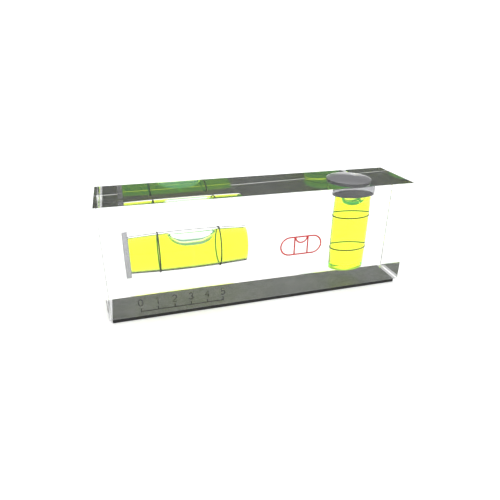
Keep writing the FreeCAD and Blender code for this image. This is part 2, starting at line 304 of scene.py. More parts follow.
def shared(name, maker):
    """A node group that is built once."""
    return bpy.data.node_groups.get(name) or maker()


class Finish:
    """A material that is being put together around one Principled shader."""

    def __init__(self, name, **sockets):
        self.material = bpy.data.materials.new(name)
        self.material.use_nodes = True
        self.tree = self.material.node_tree
        self.shader = self.tree.nodes["Principled BSDF"]
        for label, value in sockets.items():
            self.shader.inputs[label.replace("_", " ")].default_value = value
        place = add_node(self.tree, "ShaderNodeTexCoord")
        self.mapping = add_node(self.tree, "ShaderNodeMapping", {"Vector": place.outputs["Object"]})
        self.vector = self.mapping.outputs["Vector"]

    def group(self, name, maker, **values):
        """Places a shared group with its own values."""
        node = self.tree.nodes.new("ShaderNodeGroup")
        node.node_tree = shared(name, maker)
        self.tree.links.new(self.vector, node.inputs["Vector"])
        for label, value in values.items():
            node.inputs[label].default_value = value
        return node

    def clouds(self, socket, scale, low, high):
        """Lets a socket of the shader drift between two values over the surface."""
        node = self.group("soft_clouds", cloudy_group, Scale=scale, Low=low, High=high)
        self.tree.links.new(node.outputs["Value"], self.shader.inputs[socket])
        return self

    def speckle(self, scale, share, ground, fleck):
        """Colours the shader with flecks."""
        node = self.group(
            "fine_speckle", speckle_group, Scale=scale, Share=share, Ground=ground, Fleck=fleck
        )
        self.tree.links.new(node.outputs["Color"], self.shader.inputs["Base Color"])
        return self

    def relief(self, scale, depth, strength=1.0):
        """Roughens the shader's normal."""
        node = self.group("fine_relief", relief_group, Scale=scale)
        bump = add_node(self.tree, "ShaderNodeBump", {
            "Height": node.outputs["Height"], "Distance": depth, "Strength": strength,
        })
        self.tree.links.new(bump.outputs["Normal"], self.shader.inputs["Normal"])
        return self

    def absorb(self, colour, density):
        """Fills the piece with a medium that takes light away."""
        medium = add_node(self.tree, "ShaderNodeVolumeAbsorption", {
            "Color": colour, "Density": density,
        })
        output = self.tree.nodes["Material Output"]
        self.tree.links.new(medium.outputs["Volume"], output.inputs["Volume"])
        return self


def tone(colour, factor=1.0):
    """A colour with alpha, lightened or darkened."""
    return tuple(min(1.0, c * factor) for c in colour) + (1.0,)


def colours():
    """The finishes' colours as the user left them."""
    return bpy.context.scene.level_colours


def clear_acrylic():
    """Polished cast acrylic with the faintest smudges."""
    finish = Finish("polished_acrylic", Base_Color=(0.985, 0.995, 0.99, 1), IOR=1.49, Transmission_Weight=1.0)
    finish.clouds("Roughness", 60.0, 0.0, 0.0004)
    return finish.material


def wetted_wall():
    """Bore wall between acrylic and spirit, so the two indices nearly match."""
    finish = Finish("spirit_wetted_wall", Base_Color=(1, 1, 1, 1), IOR=1.088, Transmission_Weight=1.0)
    finish.clouds("Roughness", 90.0, 0.0, 0.0004)
    return finish.material


def cemented_wall():
    """Wall of a counterbore under its cement, all but unseen."""
    finish = Finish("cemented_wall", Base_Color=(0.99, 0.99, 0.99, 1), IOR=1.012, Transmission_Weight=1.0)
    finish.clouds("Roughness", 90.0, 0.0, 0.02)
    return finish.material


def spirit():
    """Yellow-green dyed spirit: it takes the blue away and carries a faint painted green glow, an emission that gives
    it light of its own.
    """
    colour = colours()
    # Painted glow: a faint green emission gives the spirit light of its own.
    finish = Finish(
        "yellow_spirit", Base_Color=(1, 1, 1, 1), IOR=1.0, Roughness=0.0, Transmission_Weight=1.0,
        Emission_Color=tone(colour.spirit_painted_glow), Emission_Strength=0.065,
    )
    finish.clouds("Roughness", 80.0, 0.0, 0.0002)
    return finish.absorb(tone(colour.spirit), 600.0).material


def air_pocket():
    """Air in the spirit."""
    finish = Finish("air_pocket", Base_Color=(1, 1, 1, 1), IOR=0.73, Transmission_Weight=1.0)
    finish.clouds("Roughness", 80.0, 0.0, 0.0004)
    return finish.material


def groove_paint():
    """Dark paint rubbed into a groove."""
    colour = colours().ring
    finish = Finish("groove_paint", Roughness=0.5)
    finish.speckle(2500.0, 0.3, tone(colour), tone(colour, 2.5)).relief(3000.0, 0.02 * MM)
    return finish.material


def milky_plastic(name, index):
    """Milky plastic of the caps, a little uneven inside; index is that of the plastic over what it touches."""
    colour = colours().cap
    finish = Finish(name, IOR=index, Transmission_Weight=0.7)
    finish.speckle(500.0, 0.3, tone(colour), tone(colour, 1.12)).relief(1500.0, 0.004 * MM)
    finish.clouds("Roughness", 250.0, 0.04, 0.09)
    return finish.material


def marking_paint(name, colour):
    """Paint in the engraved marks."""
    finish = Finish(name, Roughness=0.4)
    finish.speckle(3000.0, 0.25, tone(colour), tone(colour, 1.6)).relief(4000.0, 0.01 * MM)
    return finish.material


def tape_adhesive():
    """Grey adhesive under the block, seen through it."""
    colour = colours().tape
    finish = Finish("tape_adhesive")
    finish.speckle(2200.0, 0.35, tone(colour), tone(colour, 2.4)).relief(2600.0, 0.06 * MM)
    finish.clouds("Roughness", 400.0, 0.4, 0.55)
    return finish.material


def rubber_magnet_sheet():
    """Calendered black magnet rubber."""
    colour = colours().magnet
    finish = Finish("rubber_magnet_sheet")
    finish.speckle(4000.0, 0.2, tone(colour), tone(colour, 3.0)).relief(2500.0, 0.03 * MM)
    finish.clouds("Roughness", 500.0, 0.5, 0.7)
    return finish.material


def finish_named(name, maker, *values):
    """A finish that is made once."""
    return bpy.data.materials.get(name) or maker(*values)


# Mesh helpers

def settle(name, mesh, materials, sharp=35):
    """A mesh as a finished piece at the origin, with its faces outward."""
    work = bmesh.new()
    work.from_mesh(mesh)
    bmesh.ops.remove_doubles(work, verts=work.verts, dist=1e-7)
    bmesh.ops.recalc_face_normals(work, faces=work.faces)
    work.to_mesh(mesh)
    work.free()
    mesh.name = name
    for polygon in mesh.polygons:
        polygon.use_smooth = True
    mesh.set_sharp_from_angle(angle=math.radians(sharp))
    if materials:
        mesh.materials.clear()
        for material in materials:
            mesh.materials.append(material)
    piece = bpy.data.objects.new(name, mesh)
    bpy.context.scene.collection.objects.link(piece)
    return piece


def baked(piece):
    """The mesh that an object's modifiers or curves give; the object itself is removed."""
    bpy.context.view_layer.update()
    graph = bpy.context.evaluated_depsgraph_get()
    mesh = bpy.data.meshes.new_from_object(piece.evaluated_get(graph), depsgraph=graph)
    bpy.data.objects.remove(piece)
    return mesh


def grow(name, tree, values):
    """Runs a geometry node tree on its own and returns the mesh that it makes."""
    start = bpy.data.objects.new(name, bpy.data.meshes.new(name))
    bpy.context.scene.collection.objects.link(start)
    modifier = start.modifiers.new(name, "NODES")
    modifier.node_group = tree
    for item in tree.interface.items_tree:
        if item.item_type == "SOCKET" and item.in_out == "INPUT" and item.name in values:
            modifier[item.identifier] = values[item.name]
    return baked(start)


def turned_shell(work, outline, axis, centre, around=AROUND, close=True):
    """Adds a turned surface to work; outline holds (along, radius) and axis is X or Z. Returns its rings."""
    rings = []
    for along, radius in outline:
        ring = []
        for step in range(around if radius > 1e-9 else 1):
            angle = 2 * math.pi * step / around
            a, b = radius * math.cos(angle), radius * math.sin(angle)
            offset = Vector((along, a, b)) if axis == "X" else Vector((a, b, along))
            ring.append(work.verts.new(centre + offset))
        rings.append(ring)
    for one, two in zip(rings, rings[1:]):
        for step in range(around):
            following = step + 1
            corners = [
                one[step % len(one)], one[following % len(one)],
                two[following % len(two)], two[step % len(two)],
            ]
            work.faces.new(list(dict.fromkeys(corners)))
    return rings


def turned(name, outline, axis, centre, materials, sharp=35):
    """A closed turned piece."""
    work = bmesh.new()
    turned_shell(work, outline, axis, centre)
    mesh = bpy.data.meshes.new(name)
    work.to_mesh(mesh)
    work.free()
    return settle(name, mesh, materials, sharp)


def rounded_disc(low, high, radius, edge):
    """Outline of a disc from pole to pole whose two edges are rounded."""
    steps = [math.pi / 2 * k / 4 for k in range(5)]
    below = [(low + edge - edge * math.cos(t), radius - edge + edge * math.sin(t)) for t in steps]
    above = [(high - edge + edge * math.sin(t), radius - edge + edge * math.cos(t)) for t in steps]
    return [(low, 0.0), *below, *above, (high, 0.0)]


def barrel_rule(sizes, along, middle):
    """Radius of a vial's barrel at a place along it."""
    arc = sizes.barrel_arc
    return sizes.barrel_radius - (arc - math.sqrt(arc * arc - (along - middle) ** 2))


# Geometry node trees

def barrel_tree():
    """A vial's bore: a cylinder whose wall bows out by the barrel rule, with a drill point at its far end."""
    tree, given, out = new_group(
        "vial_bore", "GeometryNodeTree",
        [("Length", "NodeSocketFloat", 0.03), ("Radius", "NodeSocketFloat", 0.0064),
         ("Arc", "NodeSocketFloat", 0.3), ("Drill Point", "NodeSocketFloat", 0.0018),
         ("Turn", "NodeSocketVector", None), ("Start", "NodeSocketVector", None),
         ("Material", "NodeSocketMaterial", None)],
        [("Geometry", "NodeSocketGeometry", None)],
    )
    rod = add_node(tree, "GeometryNodeMeshCylinder", {
        "Vertices": AROUND, "Side Segments": 24, "Radius": 1.0, "Depth": given.outputs["Length"],
    }, fill_type="TRIANGLE_FAN")
    place = add_node(tree, "GeometryNodeInputPosition")
    parts = add_node(tree, "ShaderNodeSeparateXYZ", {0: place.outputs[0]})

    def maths(operation, *values):
        return add_node(tree, "ShaderNodeMath", dict(enumerate(values)), operation=operation).outputs[0]

    arc_square = maths("MULTIPLY", given.outputs["Arc"], given.outputs["Arc"])
    along_square = maths("MULTIPLY", parts.outputs["Z"], parts.outputs["Z"])
    chord = maths("SQRT", maths("SUBTRACT", arc_square, along_square))
    sagitta = maths("SUBTRACT", given.outputs["Arc"], chord)
    radius = maths("SUBTRACT", given.outputs["Radius"], sagitta)
    off_axis = maths("ADD", maths("ABSOLUTE", parts.outputs["X"]), maths("ABSOLUTE", parts.outputs["Y"]))
    on_axis = maths("LESS_THAN", off_axis, 0.01)
    far_end = maths("MULTIPLY", on_axis, maths("GREATER_THAN", parts.outputs["Z"], 0.0))
    drilled = maths("MULTIPLY", far_end, given.outputs["Drill Point"])
    half = maths("MULTIPLY", given.outputs["Length"], 0.5)
    shifted = maths("ADD", maths("ADD", parts.outputs["Z"], half), drilled)
    bowed = add_node(tree, "ShaderNodeCombineXYZ", {
        "X": maths("MULTIPLY", parts.outputs["X"], radius),
        "Y": maths("MULTIPLY", parts.outputs["Y"], radius),
        "Z": shifted,
    })
    wall = add_node(tree, "GeometryNodeSetPosition", {
        "Geometry": rod.outputs["Mesh"], "Position": bowed.outputs[0],
    })
    laid = add_node(tree, "GeometryNodeTransform", {
        "Geometry": wall.outputs[0], "Rotation": given.outputs["Turn"], "Translation": given.outputs["Start"],
    })
    end_tree(tree, laid.outputs[0], given, out)
    return tree


def end_tree(tree, geometry, given, out):
    """Every tree ends in real geometry with its material."""
    real = add_node(tree, "GeometryNodeRealizeInstances", {"Geometry": geometry})
    dressed = add_node(tree, "GeometryNodeSetMaterial", {
        "Geometry": real.outputs[0], "Material": given.outputs["Material"],
    })
    tree.links.new(dressed.outputs[0], out.inputs[0])


def gauge_ring_tree():
    """Rings of paint round a vial, one after the other along its axis."""
    tree, given, out = new_group(
        "gauge_rings", "GeometryNodeTree",
        [("Count", "NodeSocketInt", 2), ("Spacing", "NodeSocketFloat", 0.01),
         ("Radius", "NodeSocketFloat", 0.0065), ("Width", "NodeSocketFloat", 0.0004),
         ("Thickness", "NodeSocketFloat", 0.00013), ("Turn", "NodeSocketVector", None),
         ("Start", "NodeSocketVector", None), ("Material", "NodeSocketMaterial", None)],
        [("Geometry", "NodeSocketGeometry", None)],
    )
    section = add_node(tree, "GeometryNodeCurvePrimitiveQuadrilateral", {
        "Width": given.outputs["Thickness"], "Height": given.outputs["Width"],
    })
    hoop = add_node(tree, "GeometryNodeCurvePrimitiveCircle", {
        "Resolution": AROUND, "Radius": given.outputs["Radius"],
    })
    ring = add_node(tree, "GeometryNodeCurveToMesh", {
        "Curve": hoop.outputs[0], "Profile Curve": section.outputs[0],
    })
    step = add_node(tree, "ShaderNodeCombineXYZ", {"Z": given.outputs["Spacing"]})
    row = add_node(tree, "GeometryNodeMeshLine", {
        "Count": given.outputs["Count"], "Offset": step.outputs[0],
    })
    rings = add_node(tree, "GeometryNodeInstanceOnPoints", {
        "Points": row.outputs[0], "Instance": ring.outputs[0],
    })
    laid = add_node(tree, "GeometryNodeTransform", {
        "Geometry": rings.outputs[0], "Rotation": given.outputs["Turn"], "Translation": given.outputs["Start"],
    })
    end_tree(tree, laid.outputs[0], given, out)
    return tree


def graduation_tree():
    """Upright strokes of a scale in its front face."""
    tree, given, out = new_group(
        "scale_strokes", "GeometryNodeTree",
        [("Count", "NodeSocketInt", 6), ("Pitch", "NodeSocketFloat", 0.005),
         ("Stroke", "NodeSocketFloat", 0.0003), ("Length", "NodeSocketFloat", 0.0013),
         ("Depth", "NodeSocketFloat", 0.0001), ("Turn", "NodeSocketVector", None),
         ("Start", "NodeSocketVector", None), ("Material", "NodeSocketMaterial", None)],
        [("Geometry", "NodeSocketGeometry", None)],
    )
    outline = add_node(tree, "GeometryNodeCurvePrimitiveQuadrilateral", {
        "Width": given.outputs["Stroke"], "Height": given.outputs["Length"],
    })
    flat = add_node(tree, "GeometryNodeFillCurve", {0: outline.outputs[0]})
    raised = add_node(tree, "GeometryNodeExtrudeMesh", {
        "Mesh": flat.outputs[0], "Offset Scale": given.outputs["Depth"], "Individual": False,
    })
    back = add_node(tree, "GeometryNodeFlipFaces", {"Mesh": flat.outputs[0]})
    both = tree.nodes.new("GeometryNodeJoinGeometry")
    tree.links.new(back.outputs[0], both.inputs[0])
    tree.links.new(raised.outputs[0], both.inputs[0])
    stroke = add_node(tree, "GeometryNodeMergeByDistance", {"Geometry": both.outputs[0], "Distance": 1e-6})
    step = add_node(tree, "ShaderNodeCombineXYZ", {"X": given.outputs["Pitch"]})
    row = add_node(tree, "GeometryNodeMeshLine", {
        "Count": given.outputs["Count"], "Offset": step.outputs[0],
    })
    strokes = add_node(tree, "GeometryNodeInstanceOnPoints", {
        "Points": row.outputs[0], "Instance": stroke.outputs[0], "Rotation": given.outputs["Turn"],
    })
    laid = add_node(tree, "GeometryNodeTransform", {
        "Geometry": strokes.outputs[0], "Rotation": (math.radians(90), 0, 0),
        "Translation": given.outputs["Start"],
    })
    end_tree(tree, laid.outputs[0], given, out)
    return tree


# Level bubble

def bubble_heights(sizes, x, y, middle, room):
    """Back and underside of the level bubble over a point of its plan, room bigger all round."""
    low, high = SOLID_BOXES["level_bubble"]
    top = high.z + room
    back = sizes.bubble_back + room
    half_length = size_of("level_bubble").x / 2 + sizes.meniscus + room
    depth = high.z - low.z + room
    spread = sizes.bubble_spread
    ends = sizes.bubble_ends
    hollow = 1 - abs((x - middle.x) / half_length) ** ends - (y / spread) ** 2
    under = high.z + room / 2 - depth * max(hollow, 0.0) ** (1 / ends)
    over = top - back + math.sqrt(max(back * back - y * y, 0.0))
    return over, under


def bubble_columns(sizes, room, first, last, count):
    """The level bubble as columns of points from its top pole round the rim to its bottom pole, one for each direction."""
    middle = middle_of("level_bubble")
    reach = (size_of("level_bubble").x / 2 + sizes.meniscus, sizes.bubble_back)
    shares = [math.sin(math.pi / 2 * k / 18) for k in range(1, 19)]
    columns = []
    for step in range(count):
        angle = first + (last - first) * step / (count if last - first > 6.2 else count - 1)
        ahead, aside = math.cos(angle) * reach[0], math.sin(angle) * reach[1]
        inside, outside = 0.3, 1.0
        for _ in range(40):
            trial = (inside + outside) / 2
            over, under = bubble_heights(sizes, middle.x + trial * ahead, trial * aside, middle, room)
            inside, outside = (trial, outside) if over > under else (inside, trial)
        span = math.hypot(ahead, aside)
        rim = inside - (sizes.meniscus - room) / span
        soft = rim - 3.2 * sizes.meniscus / span
        over_points, under_points = [], []
        for share in shares:
            at = rim * share
            x, y = middle.x + at * ahead, at * aside
            over, under = bubble_heights(sizes, x, y, middle, room)
            centre, half = (over + under) / 2, (over - under) / 2
            if at > soft:
                half *= math.sqrt(max(0.0, 1 - ((at - soft) / (rim - soft)) ** 2))
            over_points.append(Vector((x, y, centre + half)))
            under_points.append(Vector((x, y, centre - half)))
        columns.append(over_points[:-1] + [(over_points[-1] + under_points[-1]) / 2] + under_points[-2::-1])
    over, under = bubble_heights(sizes, middle.x, 0.0, middle, room)
    return columns, Vector((middle.x, 0, over)), Vector((middle.x, 0, under))


def skin_columns(work, columns, top, bottom, closed):
    """Adds columns of points to work as a surface with a pole at either end. Returns the columns' vertices and both poles."""
    poles = work.verts.new(top), work.verts.new(bottom)
    rows = [[work.verts.new(point) for point in column] for column in columns]
    pairs = list(zip(rows, rows[1:] + rows[:1])) if closed else list(zip(rows, rows[1:]))
    for one, two in pairs:
        work.faces.new((poles[0], one[0], two[0]))
        for k in range(len(one) - 1):
            work.faces.new((one[k], one[k + 1], two[k + 1], two[k]))
        work.faces.new((poles[1], two[-1], one[-1]))
    return rows, poles


def level_air(sizes, materials):
    """The long bubble under the level vial's crown."""
    work = bmesh.new()
    columns, top, bottom = bubble_columns(sizes, 0.0, 0.0, 2 * math.pi, 120)
    skin_columns(work, columns, top, bottom, True)
    mesh = bpy.data.meshes.new("level_air")
    work.to_mesh(mesh)
    work.free()
    return settle("level_air", mesh, materials, 80)


def level_spirit_half(name, side, sizes, materials):
    """Spirit of the level vial on one side of the bubble's middle; side is -1 towards the cap and 1 towards the blind end."""
    vial_low, vial_high = SOLID_BOXES["level_liquid"]
    bubble_low, bubble_high = SOLID_BOXES["level_bubble"]
    axis = Vector((0, 0, (vial_low.z + vial_high.z) / 2))
    middle = (SOLID_BOXES["level_ring_left"][0].x + SOLID_BOXES["level_ring_right"][1].x) / 2
    split = middle_of("level_bubble").x + side * FILM / 2
    if side < 0:
        far, near = vial_low.x + FILM, bubble_low.x
    else:
        far, near = vial_high.x - sizes.cone_depth, bubble_high.x
    stations = [split + (near - split) * k / 6 for k in range(7)] + [far]
    outline = [(x, barrel_rule(sizes, x, middle) - FILM) for x in stations]
    outline.append((far, 0.0) if side < 0 else (vial_high.x - FILM, 0.0))
    work = bmesh.new()
    rings = turned_shell(work, outline, "X", axis)
    first, last = (math.pi / 2, 3 * math.pi / 2) if side < 0 else (-math.pi / 2, math.pi / 2)
    columns, top, bottom = bubble_columns(sizes, FILM, first, last, 61)
    rows, poles = skin_columns(work, columns, top, bottom, False)
    shift = split - middle_of("level_bubble").x
    for vertex in [*rows[0], *rows[-1], *poles]:
        vertex.co.x = split
    work.edges.ensure_lookup_table()
    rim = [edge for edge in work.edges if len(edge.link_faces) == 1]
    bmesh.ops.triangle_fill(work, use_beauty=True, use_dissolve=False, edges=rim)
    mesh = bpy.data.meshes.new(name)
    work.to_mesh(mesh)
    work.free()
    return settle(name, mesh, materials)


# Plumb bubble

def plumb_bubble_outline(sizes, room):
    """The plumb bubble from its top pole to its bottom pole: flat under the cap, round below."""
    low, high = SOLID_BOXES["plumb_bubble"]
    radius = (high.x - low.x) / 2 + room
    rim = 1.4 * sizes.meniscus
    top, depth = high.z + room, high.z - low.z + 2 * room
    outline = [(top, 0.0)]
    for k in range(1, 9):
        outline.append((top, (radius - rim) * k / 8))
    for k in range(1, 9):
        turn = math.pi / 2 * k / 8
        outline.append((top - rim + rim * math.cos(turn), radius - rim + rim * math.sin(turn)))
    for k in range(1, 25):
        turn = math.pi / 2 * k / 24
        outline.append((top - rim - (depth - rim) * math.sin(turn), radius * math.cos(turn) ** 0.94 if k < 24 else 0.0))
    return outline


def plumb_spirit_half(name, side, sizes, materials):
    """Spirit of the plumb vial above (1) or below (-1) the plumb bubble's middle."""
    vial_low, vial_high = SOLID_BOXES["plumb_liquid"]
    centre = Vector((middle_of("plumb_liquid").x, 0, 0))
    middle = (vial_high.z + vial_low.z + sizes.cone_depth) / 2
    cavity = plumb_bubble_outline(sizes, FILM)
    bubble_low, bubble_high = SOLID_BOXES["plumb_bubble"]
    split = (bubble_low.z + bubble_high.z) / 2
    wall = lambda z: barrel_rule(sizes, z, middle) - FILM
    above = [point for point in cavity if point[0] > split]
    below = [point for point in cavity if point[0] <= split]
    one, two = above[-1], below[0]
    share = (split - one[0]) / (two[0] - one[0])
    radius = one[1] + (two[1] - one[1]) * share
    if side > 0:
        top = vial_high.z - FILM
        outline = [*above, (split + FILM / 2, radius), (split + FILM / 2, wall(split)), (top, wall(top)), (top, 0.0)]
    else:
        foot = vial_low.z + sizes.cone_depth
        outline = [
            (vial_low.z + FILM, 0.0), (foot, wall(foot)), (split - FILM / 2, wall(split)),
            (split - FILM / 2, radius), *below,
        ]
    return turned(name, outline, "Z", centre, materials)


# Marks

def arc_points(centre, across, upright, start, end, steps=14):
    """Points on an ellipse's arc; the angles are in degrees."""
    return [
        (centre[0] + across * math.cos(math.radians(start + (end - start) * k / steps)),
         centre[1] + upright * math.sin(math.radians(start + (end - start) * k / steps)))
        for k in range(steps + 1)
    ]


def numeral_lines(number):
    """Centre lines of a plain numeral in a box 0.6 wide and 1 high."""
    return {
        0: [arc_points((0.3, 0.5), 0.28, 0.48, 0, 360, 32)],
        1: [[(0.1, 0.78), (0.33, 0.98), (0.33, 0.02)]],
        2: [arc_points((0.3, 0.72), 0.26, 0.26, 165, -35) + [(0.04, 0.02), (0.57, 0.02)]],
        3: [arc_points((0.28, 0.74), 0.24, 0.24, 150, -90) + arc_points((0.28, 0.26), 0.29, 0.24, 90, -150)],
        4: [[(0.44, 0.02), (0.44, 0.98), (0.03, 0.32), (0.6, 0.32)]],
        5: [[(0.54, 0.98), (0.1, 0.98), (0.07, 0.56)] + arc_points((0.29, 0.32), 0.28, 0.30, 125, -145)],
    }[number]


def paint_lines(name, lines, stroke, depth, materials):
    """Paint that fills engraved lines of the front face; the lines are points (x, z)."""
    face = SOLID_BOXES["acrylic_block"][0].y
    curve = bpy.data.curves.new(name, "CURVE")
    curve.dimensions = "3D"
    curve.bevel_depth = stroke / 2
    curve.bevel_resolution = 3
    curve.use_fill_caps = True
    for line in lines:
        closed = math.dist(line[0], line[-1]) < 1e-7
        spline = curve.splines.new("POLY")
        points = line[:-1] if closed else line
        spline.points.add(len(points) - 1)
        for point, (x, z) in zip(spline.points, points):
            point.co = (x, 0.0, z, 1.0)
        spline.use_cyclic_u = closed
    start = bpy.data.objects.new(name, curve)
    bpy.context.scene.collection.objects.link(start)
    mesh = baked(start)
    proud = bpy.context.scene.level_block.paint_proud
    flatten = (depth + proud) / stroke
    for vertex in mesh.vertices:
        vertex.co.y = face - proud + (depth + proud) / 2 + vertex.co.y * flatten
    return settle(name, mesh, materials, 60)


# Pieces

def on_block(piece, slot, *nodes):
    """Rides the piece on the block and hides the solids that it stands for."""
    return on_body(piece, "block", slot, *nodes)


def on_body(piece, body, slot, *nodes):
    """Rides the piece on a body and hides the solids that it stands for."""
    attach(piece, body)
    if nodes:
        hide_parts(*nodes)
    return piece


class LEVEL_OT_acrylic(bpy.types.Operator):
    """Bevelled acrylic block with both vials and their counterbores sunk into it"""

    bl_idname = "pocket_level.acrylic"
    bl_label = "Acrylic block"

    def execute(self, context):
        block, vials = context.scene.level_block, context.scene.level_vials
        low, high = SOLID_BOXES["acrylic_block"]
        work = bmesh.new()
        bmesh.ops.create_cube(work, size=1.0)
        for vertex in work.verts:
            vertex.co = Vector(
                low[axis] + (vertex.co[axis] + 0.5) * (high[axis] - low[axis]) for axis in range(3)
            )
        bmesh.ops.bevel(
            work, geom=work.edges[:], offset=block.edge_bevel, segments=2, profile=0.5, affect="EDGES"
        )
        mesh = bpy.data.meshes.new("acrylic_blank")
        work.to_mesh(mesh)
        work.free()
        blank = bpy.data.objects.new("acrylic_blank", mesh)
        context.scene.collection.objects.link(blank)
        blank.data.materials.append(finish_named("polished_acrylic", clear_acrylic))
        wetted = finish_named("spirit_wetted_wall", wetted_wall)
        cemented = finish_named("cemented_wall", cemented_wall)
        bore = barrel_tree()
        cutters = []
        level_low, level_high = SOLID_BOXES["level_liquid"]
        plumb_low, plumb_high = SOLID_BOXES["plumb_liquid"]
        level_axis = (level_low.z + level_high.z) / 2
        shared_values = {"Radius": vials.barrel_radius, "Arc": vials.barrel_arc, "Drill Point": vials.cone_depth}
        cutters.append(grow("level_bore", bore, {
            **shared_values, "Length": level_high.x - level_low.x - vials.cone_depth,
            "Turn": (0.0, math.radians(90), 0.0), "Start": (level_low.x, 0.0, level_axis), "Material": wetted,
        }))
        cutters.append(grow("plumb_bore", bore, {
            **shared_values, "Length": plumb_high.z - plumb_low.z - vials.cone_depth,
            "Turn": (math.radians(180), 0.0, 0.0),
            "Start": (middle_of("plumb_liquid").x, 0.0, plumb_high.z), "Material": wetted,
        }))
        radius = size_of("plumb_cap").x / 2
        for name, axis, centre, start, end in (
            ("level_counterbore", "X", Vector((0, 0, level_axis)), low.x - MM, level_low.x),
            ("plumb_counterbore", "Z", Vector((middle_of("plumb_cap").x, 0, 0)), plumb_high.z, high.z + MM),
        ):
            work = bmesh.new()
            turned_shell(work, [(start, 0.0), (start, radius), (end, radius), (end, 0.0)], axis, centre)
            bmesh.ops.recalc_face_normals(work, faces=work.faces)
            cutter = bpy.data.meshes.new(name)
            work.to_mesh(cutter)
            work.free()
            for polygon in cutter.polygons:
                polygon.use_smooth = True
            cutter.materials.append(cemented)
            cutters.append(cutter)
        tools = []
        for cutter in cutters:
            tool = bpy.data.objects.new(cutter.name + "_tool", cutter)
            context.scene.collection.objects.link(tool)
            tools.append(tool)
            sink = blank.modifiers.new(cutter.name, "BOOLEAN")
            sink.operation = "DIFFERENCE"
            sink.solver = "EXACT"
            sink.object = tool
            sink.material_mode = "TRANSFER"
        mesh = baked(blank)
        for tool in tools:
            bpy.data.objects.remove(tool)
        body = settle("acrylic_body", mesh, None, 25)
        for polygon in body.data.polygons:
            if polygon.material_index == 0:
                polygon.use_smooth = False
        on_block(body, "clear_acrylic", "acrylic_block")
        return {"FINISHED"}


class LEVEL_OT_spirit(bpy.types.Operator):
    """Yellow spirit of both vials, parted at each bubble's middle"""

    bl_idname = "pocket_level.spirit"
    bl_label = "Spirit"

    def execute(self, context):
        vials = context.scene.level_vials
        dress = [finish_named("yellow_spirit", spirit)]
        left = level_spirit_half("level_spirit_left", -1, vials, dress)
        right = level_spirit_half("level_spirit_right", 1, vials, dress)
        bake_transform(left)
        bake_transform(right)
        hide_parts("level_liquid")
        above = plumb_spirit_half("plumb_spirit_above", 1, vials, dress)
        below = plumb_spirit_half("plumb_spirit_below", -1, vials, dress)
        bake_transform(above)
        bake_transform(below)
        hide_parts("plumb_liquid")
        return {"FINISHED"}


class LEVEL_OT_bubbles(bpy.types.Operator):
    """Air bubbles of the two vials"""

    bl_idname = "pocket_level.bubbles"
    bl_label = "Bubbles"

    def execute(self, context):
        vials = context.scene.level_vials
        dress = [finish_named("air_pocket", air_pocket)]
        on_body(level_air(vials, dress), "level_float", "bubble_air", "level_bubble")
        centre = Vector((middle_of("plumb_bubble").x, 0, 0))
        plumb_air = turned("plumb_air", plumb_bubble_outline(vials, 0.0), "Z", centre, dress, 80)
        on_body(plumb_air, "plumb_float", "bubble_air", "plumb_bubble")
        return {"FINISHED"}


class LEVEL_OT_gauge_rings(bpy.types.Operator):
    """Paint rings round both vials"""

    bl_idname = "pocket_level.gauge_rings"
    bl_label = "Gauge rings"

    def execute(self, context):
        tree = gauge_ring_tree()
        paint = finish_named("groove_paint", groove_paint)
        for name, nodes, axis, turn in (
            ("level_gauge_rings", ("level_ring_left", "level_ring_right"), 0, (0.0, math.radians(90), 0.0)),
            ("plumb_gauge_rings", ("plumb_ring_lower", "plumb_ring_upper"), 2, (0.0, 0.0, 0.0)),
        ):
            first, second = middle_of(nodes[0]), middle_of(nodes[1])
            size = size_of(nodes[0])
            radius = max(size) / 2
            thickness = 0.16 * MM
            mesh = grow(name, tree, {
                "Count": 2, "Spacing": second[axis] - first[axis], "Radius": radius - thickness / 2,
                "Width": size[axis], "Thickness": thickness, "Turn": turn,
                "Start": tuple(first), "Material": paint,
            })
            on_block(settle(name, mesh, [paint], 50), "ring_paint", *nodes)
        return {"FINISHED"}


class LEVEL_OT_end_fittings(bpy.types.Operator):
    """Milky caps of both vials and the clear plug behind the level vial's cap"""

    bl_idname = "pocket_level.end_fittings"
    bl_label = "Caps and plug"

    def execute(self, context):
        edge = context.scene.level_block.cap_edge
        milky = finish_named("bonded_milky_plastic", milky_plastic, "bonded_milky_plastic", 1.0)
        milky_top = finish_named("bare_milky_plastic", milky_plastic, "bare_milky_plastic", 1.49)
        low, high = SOLID_BOXES["level_cap"]
        axis = Vector((0, 0, (low.z + high.z) / 2))
        radius = (high.z - low.z) / 2
        cap = turned(
            "level_seal", rounded_disc(low.x, high.x, radius + FILM, edge), "X", axis, [milky]
        )
        on_block(cap, "milky_cap", "level_cap")
        low, high = SOLID_BOXES["level_end_plug"]
        clear = finish_named("polished_acrylic", clear_acrylic)
        hidden = finish_named("cemented_wall", cemented_wall)
        plug = turned(
            "level_plug",
            [(low.x, 0.0), (low.x, radius - FILM), (high.x - FILM, radius - FILM), (high.x - FILM, 0.0)],
            "X", axis, [clear, hidden],
        )
        for polygon in plug.data.polygons:
            if polygon.center.x > low.x + FILM:
                polygon.material_index = 1
        on_block(plug, "clear_acrylic", "level_end_plug")
        low, high = SOLID_BOXES["plumb_cap"]
        centre = Vector(((low.x + high.x) / 2, 0, 0))
        radius = (high.x - low.x) / 2
        cap = turned(
            "plumb_seal", rounded_disc(low.z, high.z, radius + FILM, edge), "Z", centre, [milky, milky_top]
        )
        for polygon in cap.data.polygons:
            if polygon.center.z > high.z - edge:
                polygon.material_index = 1
        on_block(cap, "milky_cap", "plumb_cap")
        return {"FINISHED"}


